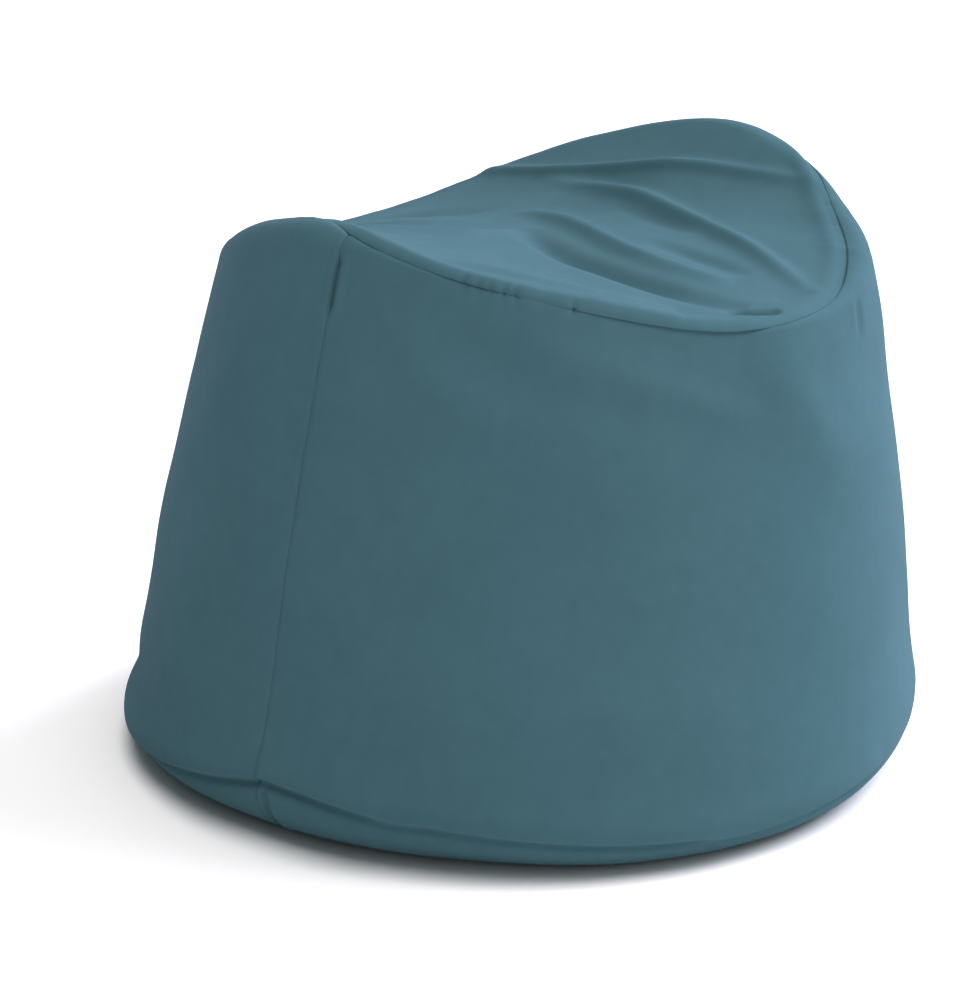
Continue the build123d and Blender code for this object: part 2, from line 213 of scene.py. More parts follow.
def node_material(name):
    """New node material, with its tree and its surface shader."""
    made = bpy.data.materials.new(name)
    made.use_nodes = True
    tree = made.node_tree
    shader = tree.nodes["Principled BSDF"]
    return made, tree, shader


def add_node(tree, kind, links=(), **values):
    """Adds a node, sets its inputs by name, and joins the sockets given as (from, input name)."""
    node = tree.nodes.new(kind)
    for key, value in values.items():
        socket = key.replace("_", " ")
        if socket in node.inputs:
            node.inputs[socket].default_value = value
        else:
            setattr(node, key, value)
    for source, target in links:
        tree.links.new(source, node.inputs[target])
    return node


def ramp(tree, source, stops):
    """Colour ramp over a value, from a list of (place, colour)."""
    node = add_node(tree, "ShaderNodeValToRGB", [(source, "Fac")])
    ends = node.color_ramp.elements
    ends[0].position, ends[0].color = stops[0][0], (*stops[0][1], 1)
    ends[1].position, ends[1].color = stops[-1][0], (*stops[-1][1], 1)
    for place, colour in stops[1:-1]:
        node.color_ramp.elements.new(place).color = (*colour, 1)
    return node.outputs["Color"]


def bead_material():
    """White beads a few millimetres across: round cells, with painted shade at their joints."""
    made, tree, shader = node_material("bead_fill")
    where = add_node(tree, "ShaderNodeTexCoord").outputs["Object"]
    cells = add_node(tree, "ShaderNodeTexVoronoi", [(where, "Vector")], Scale=230.0)
    # Painted shade: the colour darkens towards the edge of each cell, where the beads meet.
    tint = ramp(tree, cells.outputs["Distance"], [(0.0, (0.90, 0.90, 0.89)), (0.75, (0.70, 0.70, 0.69))])
    tree.links.new(tint, shader.inputs["Base Color"])
    raised = add_node(tree, "ShaderNodeMath", [(cells.outputs["Distance"], 0)], operation="MULTIPLY")
    raised.inputs[1].default_value = -1.0
    bump = add_node(tree, "ShaderNodeBump", [(raised.outputs[0], "Height")], Strength=0.6, Distance=0.002)
    tree.links.new(bump.outputs["Normal"], shader.inputs["Normal"])
    shader.inputs["Roughness"].default_value = 0.75
    return made


def fill_points(columns, rows):
    """Full turn of the bag's profile, from the base's middle to the seat's middle, moved inwards."""
    turn = np.linspace(0, 2 * np.pi, columns, endpoint=False)[:, None]
    fit = crest_fit(turn)
    contact, roll_r, roll_z = foot_profile(turn, rows // 6)
    base_r = contact * np.linspace(0, 1, rows // 4)[:-1]
    climb = np.linspace(0, 1, rows // 2)[1:]
    wall_z = roll_z[:, -1:] + (fit["high"] - roll_z[:, -1:]) * climb
    drawn = (roll_r[:, -1:] - wall_radius(roll_z[:, -1:])) * (1 - climb) ** 2
    top = fit["arc"] * fit["bend"] + fit["inner"] * np.sqrt(1 + fit["slope"] ** 2)
    top_r, top_z = over_crest(turn, top * np.linspace(0, 1, rows // 3)[1:], fit)
    radius = np.concatenate([base_r, roll_r, wall_radius(wall_z) + drawn, top_r], 1)
    height = np.concatenate([base_r * 0, roll_z, wall_z, top_z], 1)
    points = stand(turn, radius, height)
    looped = np.concatenate([points[-2:], points, points[:2]], 0)
    inward = grid_normals(looped)[2:-2]
    inward[:, 0] = [0, 0, -1]
    inward[:, -1] = [0, 0, 1]
    return points - fill_inset * inward


fill_grid = fill_points(fill_turns, fill_profile)
fill_columns, fill_rows = fill_grid.shape[:2]
fill_body = fill_grid[:, 1:-1].reshape(-1, 3)
fill_poles = np.stack([fill_grid[:, 0].mean(0), fill_grid[:, -1].mean(0)])
fill_faces = grid_faces(fill_columns, fill_rows - 2, wrap=True)
first_pole = len(fill_body)
ring = np.arange(fill_columns) * (fill_rows - 2)
ring_after = np.roll(ring, -1)
fill_faces += [[first_pole, int(b), int(a)] for a, b in zip(ring, ring_after)]
last = ring + fill_rows - 3
fill_faces += [[first_pole + 1, int(a), int(b)] for a, b in zip(last, np.roll(last, -1))]
bead_fill = put_mesh("bead_fill_beads", np.concatenate([fill_body, fill_poles]), fill_faces)
bead_fill.data.materials.append(bead_material())
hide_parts("bead_fill")
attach(bead_fill, "bag")


# Cover, side panels: two pieces of brushed velour, front and rear, from the base seam up to the rim seam.
# Each is cut from flat cloth, sewn to the other in an upright seam at both peaks, and turned right side out.
# The slack cloth sags over the foot, puckers along the seams and hangs in shallow hollows between them.
cloth_thickness = 0.002
base_edge = 0.3460
seam_gap = 0.00015
seam_allowance = 0.0040
side_columns = 280
side_crowding = 0.6
side_rows = {"floor": 4, "roll": 44, "wall": 84, "crest": 18}
# Where the rim seam lies across the crest, as a share of its arc, and how far past the arc in metres
seam_shares = [
    (0, 0.04), (40, 0.04), (75, 0.30), (100, 0.55), (120, 0.85), (150, 1.0), (172, 0.85), (184, 0.40),
    (196, 0.12), (245, 0.06), (262, 0.45), (278, 0.90), (292, 1.0), (318, 0.95), (328, 0.45), (340, 0.04),
    (360, 0.04),
]
seam_past = [
    (0, 0.0), (110, 0.0), (130, 0.006), (165, 0.006), (178, 0.0), (276, 0.0), (290, 0.007), (312, 0.005),
    (322, 0.0), (360, 0.0),
]
rim_groove = 0.0013
rim_groove_width = 0.0026
# How much of the groove shows round the bag: deepest where the front panel meets the low peak
groove_shares = [
    (0, 0.5), (150, 0.7), (190, 0.9), (215, 0.8), (235, 0.4), (262, 0.25), (285, 0.3), (340, 0.35),
    (360, 0.5),
]
side_groove = 0.0013
side_groove_width = 0.0026
side_pucker_height = 0.0006
side_pucker_size = 0.016
side_pucker_reach = 0.012
pucker_height = 0.0011
pucker_reach = 0.014
# Puckers of the rim seam: the two noises that make them, and where the sewing has drawn them together
pucker_seeds = (11, 12, 13)
pucker_sizes = (0.011, 0.023, 0.09)
drawn_turn = 208.0
drawn_half = 7.0
drawn_more = 1.6
# Mean radii at which turns are unrolled into lengths: along the rim, at the gathers, the seams and the wall
pucker_round = 0.30
gather_round = 0.32
seam_round = 0.35
wall_round = 0.38
# Slow waves of the slack wall: (seed, size, height), and the height from the base over which they set in
wall_waves = [(3, 0.16, 0.0026), (4, 0.075, 0.0014)]
wave_start = 0.15
# Single gathers that the rim seam has taken up, by their turn in degrees
rim_gathers = [203.4, 205.8, 207.6, 210.0, 211.8, 221.0]
gather_depth = 0.0026
gather_half = 0.0026
gather_reach = 0.009
# Upright tucks: (turn in degrees, foot height, top height, depth, half width)
tuck_over = 0.004
tuck_fade = 0.012
tuck_lips = 0.3
side_tucks = [
    (180.4, 0.496, 0.545, 0.0050, 0.0026),
    (180.4, 0.300, 0.420, 0.0004, 0.0030),
    (181.4, 0.0, 0.062, 0.0035, 0.0034),
    (-0.5, 0.440, 0.520, 0.0020, 0.0036),
    (0.6, 0.0, 0.060, 0.0020, 0.0036),
    (280.0, 0.455, 0.486, 0.0030, 0.0034),
]
# Creases where the wall sags over the foot: (turns in degrees, heights, overhang, depth of the crease)
crease_fade = 6.0
crease_lip = 0.0018
crease_drop = 0.003
crease_half = 0.0045
sag_reach = 0.034
swell_share = 0.15
swell_drop = 0.020
swell_half = 0.011
foot_creases = [
    ((118.0, 135.0, 160.0, 171.0, 181.0, 188.0, 194.0, 202.0),
     (0.014, 0.018, 0.036, 0.052, 0.068, 0.065, 0.059, 0.050), 0.0065, 0.0050),
    ((197.0, 206.0, 212.0, 217.0, 225.0, 234.0, 246.0),
     (0.051, 0.051, 0.046, 0.043, 0.038, 0.033, 0.028), 0.0040, 0.0045),
    ((238.0, 250.0, 260.0, 268.0, 276.0), (0.022, 0.026, 0.030, 0.034, 0.040), 0.0022, 0.0030),
    ((286.0, 300.0, 315.0, 330.0, 342.0), (0.026, 0.030, 0.034, 0.034, 0.030), 0.0010, 0.0030),
    ((12.0, 26.0, 44.0, 60.0), (0.036, 0.046, 0.044, 0.036), 0.0040, 0.0045),
    ((74.0, 84.0, 94.0, 106.0), (0.030, 0.038, 0.040, 0.030), 0.0040, 0.0045),
]
# Long shallow drags in the wall: (points as turn in degrees and height, height of the fold, half width)
wall_drags = [
    (((190, 0.500), (202, 0.440), (216, 0.400)), 0.0046, 0.024),
    (((198, 0.505), (214, 0.455), (232, 0.430)), -0.0042, 0.022),
    (((212, 0.480), (230, 0.450), (252, 0.400)), 0.0040, 0.018),
    (((250, 0.470), (262, 0.400), (270, 0.330)), 0.0036, 0.030),
    (((172, 0.520), (160, 0.440), (150, 0.380)), 0.0015, 0.030),
    (((184, 0.250), (200, 0.180), (220, 0.140)), 0.0025, 0.030),
    (((112, 0.075), (138, 0.078), (164, 0.090)), -0.0042, 0.022),
    (((280, 0.475), (300, 0.455), (322, 0.470)), 0.0030, 0.045),
    (((350, 0.500), (338, 0.430), (320, 0.300)), -0.0025, 0.036),
    (((20, 0.480), (36, 0.420), (56, 0.380)), 0.0030, 0.036),
    (((100, 0.440), (88, 0.360), (84, 0.280)), 0.0030, 0.036),
    (((132, 0.440), (120, 0.390), (104, 0.350)), -0.0025, 0.036),
]


def soft_noise(seed, places, size):
    """Smooth noise: random heights on a grid, joined by a cubic blend between the grid's corners."""
    table = np.random.default_rng(seed).uniform(-1, 1, (64, 64))
    scaled = places / size
    cell = np.floor(scaled).astype(int)
    part = scaled - cell
    part = part * part * part * (part * (6 * part - 15) + 10)
    u, v = cell[..., 0] % 64, cell[..., 1] % 64
    u1, v1 = (u + 1) % 64, (v + 1) % 64
    low = table[u, v] * (1 - part[..., 0]) + table[u1, v] * part[..., 0]
    high = table[u, v1] * (1 - part[..., 0]) + table[u1, v1] * part[..., 0]
    return low * (1 - part[..., 1]) + high * part[..., 1]


def bell(distance, width):
    """Bell curve of a distance, 1 at zero and about a third at one width."""
    return np.exp(-((distance / width) ** 2))


def curve_through(stops, count):
    """Points along a smooth curve near the stops: a polynomial, cubic at most, fitted along their spacing."""
    stops = np.asarray(stops, float)
    steps = np.concatenate([[0], np.cumsum(np.linalg.norm(np.diff(stops, axis=0), axis=1))])
    steps = steps / steps[-1]
    power = min(3, len(stops) - 1)
    place = np.linspace(0, 1, count)
    fits = [np.polyfit(steps, column, power) for column in stops.T]
    return np.stack([np.polyval(fit, place) for fit in fits], -1)


def fold(places, stops, height, width):
    """Height of a fold at each place: a bell curve of the distance to its line, fading at both ends."""
    line = curve_through(stops, 25)
    flat = places.reshape(-1, 2)
    gap = np.full(len(flat), 1e9)
    near = np.zeros(len(flat))
    for step, (start, end) in enumerate(zip(line[:-1], line[1:])):
        way = end - start
        share = np.clip((flat - start) @ way / (way @ way), 0, 1)
        away = ((flat - start - share[:, None] * way) ** 2).sum(1)
        closer = away < gap
        gap = np.where(closer, away, gap)
        near = np.where(closer, (step + share) / (len(line) - 1), near)
    fade = np.sin(np.pi * np.clip(near, 0.0, 1.0)) ** 0.6
    return (height * fade * np.exp(-gap / width**2)).reshape(places.shape[:-1])


def seam_run(turn, fit):
    """Run from the wall's top to the rim seam: its share of the crest's arc, and what goes past the arc."""
    return fit["arc"] * fit["bend"] * round_bag(seam_shares, turn) + round_bag(seam_past, turn)


def rim_puckers(turn, to_rim):
    """Relief that side panels and seat share at the rim seam: puckers, single gathers and the groove."""
    turn = turn % (2 * np.pi)
    along_rim = np.stack([turn * pucker_round, turn * 0 + 0.5], -1)
    noises = [soft_noise(seed, along_rim, size) for seed, size in zip(pucker_seeds, pucker_sizes)]
    pucker = noises[0] + 0.6 * noises[1]
    strength = 0.5 + 0.5 * noises[2] + drawn_more * bell(np.degrees(turn) - drawn_turn, drawn_half)
    relief = pucker_height * pucker * strength * np.exp(-to_rim / pucker_reach)
    for at in rim_gathers:
        off = (turn - np.radians(at)) * gather_round
        relief = relief - gather_depth * bell(off, gather_half) * bell(to_rim, gather_reach)
    return relief - rim_groove * round_bag(groove_shares, turn) * bell(to_rim, rim_groove_width)


def side_grid(first, last, columns):
    """Smooth side panel on a grid of turn and run, crowded towards its seams, with the distances to them.
    It is first made a column wider each side and two rows longer, so that normals at its edges are true."""
    place = np.arange(-1, columns + 1) / (columns - 1)
    place = place - side_crowding * np.sin(2 * np.pi * place) / (2 * np.pi)
    turn = (first + (last - first) * place)[:, None]
    fit = crest_fit(turn)
    contact, roll_r, roll_z = foot_profile(turn, side_rows["roll"])
    floor_r = base_edge + (contact - base_edge) * np.linspace(0, 1, side_rows["floor"], endpoint=False)
    climb = np.linspace(0, 1, side_rows["wall"] + 1)[1:]
    wall_z = roll_z[:, -1:] + (fit["high"] - roll_z[:, -1:]) * climb
    drawn = (roll_r[:, -1:] - wall_radius(roll_z[:, -1:])) * (1 - climb) ** 2
    rim_share = np.arange(1, side_rows["crest"] + 3) / side_rows["crest"]
    crest_r, crest_z = over_crest(turn, seam_run(turn, fit) * rim_share, fit)
    radius = np.concatenate([floor_r, roll_r, wall_radius(wall_z) + drawn, crest_r], 1)
    height = np.concatenate([floor_r * 0, roll_z, wall_z, crest_z], 1)
    points = stand(turn + 0 * radius, radius, height)
    steps = np.linalg.norm(np.diff(points, axis=1), axis=-1)
    from_base = np.concatenate([0 * turn, np.cumsum(steps, 1)], 1)
    grid = {
        "turn": turn + 0 * radius, "height": height, "radius": radius, "points": points,
        "normals": grid_normals(points), "from_base": from_base, "to_rim": from_base[:, -3:-2] - from_base,
        "to_side": np.minimum(np.abs(turn - first), np.abs(turn - last)) * radius,
    }
    return {key: value[1:-1, :-2] for key, value in grid.items()}


def side_relief(grid):
    """How far the cloth stands off the smooth form: sag, creases, tucks, drags, puckers and grooves."""
    turn, height = grid["turn"], grid["height"]
    degrees = np.degrees(turn) % 360
    wrapped = np.stack([turn * wall_round, grid["from_base"]], -1)
    relief = sum(high * soft_noise(seed, wrapped, size) for seed, size, high in wall_waves)
    relief = relief * np.clip(grid["from_base"] / wave_start, 0, 1)
    for turns, heights, overhang, depth in foot_creases:
        middle = 0.5 * (turns[0] + turns[-1])
        shifted = (degrees - middle + 180) % 360 - 180 + middle
        level = np.interp(shifted, turns, heights)
        first_end = np.clip((shifted - turns[0]) / crease_fade, 0, 1)
        ends = first_end * np.clip((turns[-1] - shifted) / crease_fade, 0, 1)
        ends = ends * ends * (3 - 2 * ends)
        above = height - level
        lip = 1 / (1 + np.exp(-np.clip(above / crease_lip, -30, 30)))
        relief = relief + ends * overhang * lip * bell(np.maximum(above, 0.0), sag_reach)
        relief = relief - ends * depth * bell(above + crease_drop, crease_half)
        relief = relief + ends * swell_share * depth * bell(above + swell_drop, swell_half)
    for at, low, high, depth, half in side_tucks:
        off = ((degrees - at + 180) % 360 - 180) * np.pi / 180 * grid["radius"]
        over_foot = np.clip((height - low + tuck_over) / tuck_fade, 0, 1)
        ends = over_foot * np.clip((high + tuck_over - height) / tuck_fade, 0, 1)
        relief = relief - depth * ends * bell(off, half)
        relief = relief + tuck_lips * depth * ends * bell(np.abs(off) - 2.6 * half, 1.6 * half)
    for stops, lift, width in wall_drags:
        middle = stops[1][0]
        shifted = (degrees - middle + 180) % 360 - 180 + middle
        line = [(np.radians(at) * wall_round, high) for at, high in stops]
        relief = relief + fold(np.stack([np.radians(shifted) * wall_round, height], -1), line, lift, width)
    relief = relief + rim_puckers(turn, grid["to_rim"])
    along_side = np.stack([height, height * 0 + 0.5], -1)
    near_side = np.exp(-grid["to_side"] / side_pucker_reach)
    relief = relief + side_pucker_height * soft_noise(15, along_side, side_pucker_size) * near_side
    return relief - side_groove * bell(grid["to_side"], side_groove_width)


def side_cloth(grid, inset):
    """Finished points of a side panel: the smooth grid moved along its normals, kept above the floor."""
    points = grid["points"] + grid["normals"] * (grid["relief"] - inset)[..., None]
    points[..., 2] = np.maximum(points[..., 2], inset)
    return points


def turned_in(points, normals, depth):
    """Grid with one more row all round: the seam allowance, turned in along the normals at its edge."""
    ring = ((1, 1), (1, 1), (0, 0))
    wider = np.pad(points, ring, mode="edge")
    edge = np.pad(np.zeros(points.shape[:2]), 1, constant_values=1.0)[..., None]
    return wider - edge * depth * np.pad(normals, ring, mode="edge")


def panel_faces(rows, columns):
    """Quads of a panel with its seam allowance, without the four corners where the allowances meet."""
    faces = np.array(grid_faces(rows, columns)).reshape(rows - 1, columns - 1, 4)
    kept = np.ones(faces.shape[:2], bool)
    kept[[0, 0, -1, -1], [0, -1, 0, -1]] = False
    return faces[kept].tolist()


def thicken(piece, thickness):
    """Gives a sheet its thickness on the inner side, with closed edges."""
    wall = piece.modifiers.new("thickness", "SOLIDIFY")
    wall.thickness = thickness
    wall.offset = -1.0
    wall.use_rim = True


def nap_group():
    """Node group for pile cloth: patchy shade of the brushed nap, and the height of its fibres."""
    group = bpy.data.node_groups.new("brushed_nap", "ShaderNodeTree")
    group.interface.new_socket("Vector", in_out="INPUT", socket_type="NodeSocketVector")
    group.interface.new_socket("Fibre Scale", in_out="INPUT", socket_type="NodeSocketFloat")
    group.interface.new_socket("Shade", in_out="OUTPUT", socket_type="NodeSocketFloat")
    group.interface.new_socket("Height", in_out="OUTPUT", socket_type="NodeSocketFloat")
    entry = group.nodes.new("NodeGroupInput")
    leave = group.nodes.new("NodeGroupOutput")
    where, scale = entry.outputs["Vector"], entry.outputs["Fibre Scale"]
    at = [(where, "Vector")]
    patches = add_node(group, "ShaderNodeTexNoise", at, Scale=7.0, Detail=4.0, Roughness=0.6)
    strokes = add_node(group, "ShaderNodeTexNoise", at, Scale=55.0, Detail=3.0, Roughness=0.6)
    fibres = add_node(group, "ShaderNodeTexNoise", [(where, "Vector"), (scale, "Scale")], Detail=2.0)
    first = add_node(group, "ShaderNodeMath", [(strokes.outputs["Fac"], 0)], operation="MULTIPLY")
    first.inputs[1].default_value = 0.35
    second = add_node(group, "ShaderNodeMath", [(patches.outputs["Fac"], 0), (first.outputs[0], 2)],
                      operation="MULTIPLY_ADD")
    second.inputs[1].default_value = 0.65
    third = add_node(group, "ShaderNodeMath", [(fibres.outputs["Fac"], 0), (second.outputs[0], 2)],
                     operation="MULTIPLY_ADD")
    third.inputs[1].default_value = 0.22
    group.links.new(third.outputs[0], leave.inputs["Shade"])
    group.links.new(fibres.outputs["Fac"], leave.inputs["Height"])
    return group


brushed_nap = nap_group()


def velour_material():
    """Teal blue velour: dull pile with patchy nap, fine fibre relief and a faint blue sheen at the edges."""
    made, tree, shader = node_material("cover_velour")
    where = add_node(tree, "ShaderNodeTexCoord").outputs["Object"]
    nap = add_node(tree, "ShaderNodeGroup", node_tree=brushed_nap)
    tree.links.new(where, nap.inputs["Vector"])
    nap.inputs["Fibre Scale"].default_value = 900.0
    tint = ramp(tree, nap.outputs["Shade"], [
        (0.38, (0.056, 0.131, 0.151)),
        (0.60, (0.062, 0.142, 0.164)),
        (0.85, (0.068, 0.154, 0.177)),
    ])
    tree.links.new(tint, shader.inputs["Base Color"])
    fibres = [(nap.outputs["Height"], "Height")]
    bump = add_node(tree, "ShaderNodeBump", fibres, Strength=0.25, Distance=0.0008)
    tree.links.new(bump.outputs["Normal"], shader.inputs["Normal"])
    shader.inputs["Roughness"].default_value = 0.88
    shader.inputs["Specular IOR Level"].default_value = 0.0
    shader.inputs["Sheen Weight"].default_value = 0.08
    shader.inputs["Sheen Roughness"].default_value = 0.40
    shader.inputs["Sheen Tint"].default_value = (0.66, 0.82, 1.0, 1)
    return made


velour = velour_material()
side_shapes = {}
side_cuts = {"front": (np.pi, 2 * np.pi), "rear": (0.0, np.pi)}
for side, (first, last) in side_cuts.items():
    inset = seam_gap / seam_round
    shape = side_grid(first + inset, last - inset, side_columns)
    shape["relief"] = side_relief(shape)
    side_shapes[side] = shape
    panel_points = turned_in(side_cloth(shape, 0.0), shape["normals"], seam_allowance)
    panel = put_mesh(f"{side}_side_cloth", panel_points, panel_faces(*panel_points.shape[:2]))
    panel.data.materials.append(velour)
    thicken(panel, cloth_thickness)
    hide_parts(f"{side}_side_panel")
    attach(panel, "bag")


# Cover, seat panel: one oval of the same velour, sewn to the side panels along the rim seam.
# It lies slack in the valley between the peaks, so it gathers in long folds that run along the valley
# and in small puckers where the seam takes up its edge.
seat_cells = 206
seat_crowding = 0.8
# Soft hollows between the folds: (seed, size, height), and the distances from the rim over which
# they and the folds set in
seat_waves = [(21, 0.11, 0.0022), (22, 0.05, 0.0010)]
wave_rim = 0.03
fold_rim = 0.012
# The padded roll just inside the rim seam
roll_height = 0.0020
roll_from_rim = 0.015
roll_half = 0.010
level_middle = 0.04  # radius of the middle, where normals are eased to upright
# Folds of the slack seat: (points in plan, height, half width)
seat_folds = [
    (((0.205, 0.250), (0.192, 0.190), (0.182, 0.112), (0.185, 0.030),
      (0.206, -0.075), (0.232, -0.166)), 0.0078, 0.0085),
    (((0.165, 0.150), (0.158, 0.060), (0.160, -0.030)), -0.0030, 0.012),
    (((0.168, 0.135), (0.146, 0.056), (0.126, -0.052), (0.094, -0.143),
      (0.048, -0.225), (0.010, -0.300)), 0.0092, 0.0115),
    (((0.108, -0.010), (0.098, -0.040), (0.088, -0.080), (0.070, -0.115)), -0.0032, 0.011),
    (((0.065, 0.085), (0.032, 0.000), (0.006, -0.055), (-0.035, -0.120),
      (-0.040, -0.170), (-0.025, -0.235)), 0.0110, 0.0135),
    (((-0.010, 0.020), (-0.076, -0.085), (-0.102, -0.155), (-0.090, -0.215),
      (-0.080, -0.284)), -0.0145, 0.0170),
    (((-0.240, -0.080), (-0.228, -0.155), (-0.196, -0.212), (-0.150, -0.258)), 0.0085, 0.0240),
    (((-0.100, -0.277), (-0.080, -0.292), (-0.054, -0.304)), -0.0095, 0.0054),
    (((-0.088, -0.256), (-0.060, -0.276), (-0.030, -0.290)), 0.0016, 0.0110),
    (((0.024, -0.105), (0.014, -0.170), (0.000, -0.235)), -0.0055, 0.0130),
    (((-0.140, 0.030), (-0.080, 0.020), (0.000, 0.035)), 0.0035, 0.0150),
    (((-0.060, 0.260), (-0.030, 0.160), (0.010, 0.080)), 0.0060, 0.0200),
    (((0.040, 0.270), (0.060, 0.190), (0.080, 0.120)), -0.0050, 0.0180),
    (((-0.160, 0.180), (-0.120, 0.090), (-0.090, 0.000)), 0.0045, 0.0240),
]


def seat_grid(cells):
    """Smooth seat on a square grid squeezed into a disc and crowded towards the rim seam.
    Normals come from small steps of turn and run, so that they agree with the side panels at the seam."""
    crowd = seat_crowding * np.pi / 2
    side = np.sin(np.linspace(-crowd, crowd, cells)) / np.sin(crowd)
    u, v = np.meshgrid(side, side, indexing="ij")
    flat_x, flat_y = u * np.sqrt(1 - v * v / 2), v * np.sqrt(1 - u * u / 2)
    turn = np.arctan2(flat_y, flat_x)
    share = np.minimum(np.hypot(flat_x, flat_y), 1.0)

    def on_form(turn, share, step):
        """Plan place, run past the seam and point of the form, a step of run further in."""
        fit = crest_fit(turn)
        start = seam_run(turn, fit)
        whole = fit["arc"] * fit["bend"] + fit["inner"] * np.sqrt(1 + fit["slope"] ** 2)
        run = start + (1 - share) * (whole - start) + step
        radius, height = over_crest(turn, run, fit)
        return radius, run - start, stand(turn, radius, height)

    radius, to_rim, points = on_form(turn, share, 0.0)
    small_run, small_turn = 5e-4, 2e-3
    run_way = on_form(turn, share, small_run)[2] - on_form(turn, share, -small_run)[2]
    turn_way = on_form(turn + small_turn, share, 0.0)[2] - on_form(turn - small_turn, share, 0.0)[2]
    normals = np.cross(turn_way, run_way)
    normals = normals / np.maximum(np.linalg.norm(normals, axis=-1, keepdims=True), 1e-12)
    middle = (1 - np.clip(radius / level_middle, 0, 1))[..., None]
    normals = normals * (1 - middle) + np.array([0.0, 0.0, 1.0]) * middle
    plan = np.stack([radius * np.cos(turn), radius * np.sin(turn)], -1)
    return {"turn": turn, "plan": plan, "to_rim": to_rim, "points": points, "normals": normals}


def seat_relief(grid):
    """How far the seat stands off the smooth saddle: folds, soft hollows, puckers, groove and edge roll."""
    plan, turn, to_rim = grid["plan"], grid["turn"], grid["to_rim"]
    inside = np.clip(to_rim / wave_rim, 0, 1)
    relief = sum(high * soft_noise(seed, plan, size) * inside for seed, size, high in seat_waves)
    held = np.clip(to_rim / fold_rim, 0, 1)
    held = held * held * (3 - 2 * held)
    for stops, lift, width in seat_folds:
        relief = relief + held * fold(plan, stops, lift, width)
    return relief + rim_puckers(turn, to_rim) + roll_height * held * bell(to_rim - roll_from_rim, roll_half)


seat_shape = seat_grid(seat_cells)
seat_shape["relief"] = seat_relief(seat_shape)
seat_points = seat_shape["points"] + seat_shape["normals"] * seat_shape["relief"][..., None]
seat_cloth_points = turned_in(seat_points, seat_shape["normals"], seam_allowance)
seat_cloth = put_mesh("seat_cloth", seat_cloth_points, panel_faces(seat_cells + 2, seat_cells + 2))
seat_cloth.data.materials.append(velour)
thicken(seat_cloth, cloth_thickness)
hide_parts("seat_panel")
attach(seat_cloth, "bag")


# Cover, base: two half rounds of the velour, sewn to the side panels at the edge of the floor
# and to the zip tapes across the middle, where a shallow trough keeps the zip off the floor.
base_radius = 0.3456
trough = {"length": 0.470, "width": 0.046, "ramp": 0.020, "rise": 0.004}
cover_slot = {"half": 0.009, "length": 0.430}
slot_end = 0.004
base_columns = 160
base_rows = 60


def ease(value):
    """Smooth step from 0 to 1."""
    value = np.clip(value, 0.0, 1.0)
    return value * value * (3 - 2 * value)


def base_half(side, radius, slot, rise, floor, rows, columns):
    """Half round on a grid: columns along the zip, rows from the rim to the slot, raised over the trough."""
    end_angle = np.pi / 2 - 0.02
    angle = np.linspace(-end_angle, end_angle, columns)[:, None]
    x = radius * np.sin(angle)
    rim = radius * np.cos(angle)
    slot_ends = ease((slot["length"] / 2 - np.abs(x)) / slot_end + 1)
    edge = seam_gap + (slot["half"] - seam_gap) * slot_ends
    inward = np.linspace(0, 1, rows) ** 0.9
    y = rim + (np.minimum(edge, rim) - rim) * inward
    x = x + 0 * y
    lift_y = ease((trough["width"] / 2 - np.abs(y)) / trough["ramp"] + 1)
    lift_x = ease((trough["length"] / 2 - np.abs(x)) / trough["ramp"] + 1)
    z = floor + rise * lift_x * lift_y
    return np.stack([x, side * y, z], -1)


for side, sign in (("front", -1.0), ("rear", 1.0)):
    half_points = base_half(sign, base_radius, cover_slot, trough["rise"], 0.0, base_rows, base_columns)
    half = put_mesh(f"base_{side}_cloth", half_points, grid_faces(base_columns, base_rows, flip=sign < 0))
    half.data.materials.append(velour)
    thicken(half, cloth_thickness)
    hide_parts(f"base_panel_{side}")
    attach(half, "bag")


# Liner: a second bag of thin white cotton inside the cover, cut as the cover is, with its own zip.
# It keeps the beads in when the cover comes off for washing.
liner_thickness = 0.0008
liner_inset = 0.0068
liner_slot = {"half": 0.007, "length": 0.362}
liner_base = {"drawn_in": 0.006, "rise": 0.0060, "floor": 0.0046, "rows": 30, "columns": 80}


def cotton_material(name, colour):
    """Plain woven cotton: fine crossed threads in the colour and in the relief."""
    made, tree, shader = node_material(name)
    where = add_node(tree, "ShaderNodeTexCoord").outputs["Object"]
    warp = add_node(tree, "ShaderNodeTexWave", [(where, "Vector")], Scale=300.0, Distortion=1.0, Detail=1.0)
    weft = add_node(tree, "ShaderNodeTexWave", [(where, "Vector")], Scale=300.0, Distortion=1.0, Detail=1.0)
    weft.bands_direction = "Z"
    threads = [(warp.outputs["Fac"], 0), (weft.outputs["Fac"], 1)]
    mixed = add_node(tree, "ShaderNodeMath", threads, operation="ADD")
    dark = tuple(0.82 * c for c in colour)
    halved = add_node(tree, "ShaderNodeMath", [(mixed.outputs[0], 0)], operation="MULTIPLY")
    halved.inputs[1].default_value = 0.5
    tint = ramp(tree, halved.outputs[0], [(0.1, dark), (0.7, colour)])
    tree.links.new(tint, shader.inputs["Base Color"])
    bump = add_node(tree, "ShaderNodeBump", [(mixed.outputs[0], "Height")], Strength=0.3, Distance=0.0003)
    tree.links.new(bump.outputs["Normal"], shader.inputs["Normal"])
    shader.inputs["Roughness"].default_value = 0.9
    return made


liner_cotton = cotton_material("liner_cotton", (0.75, 0.74, 0.70))


def thinned(points, step):
    """Every step-th point of a grid both ways, always with its edges."""
    first = np.unique(np.append(np.arange(0, points.shape[0], step), points.shape[0] - 1))
    second = np.unique(np.append(np.arange(0, points.shape[1], step), points.shape[1] - 1))
    return points[first][:, second]


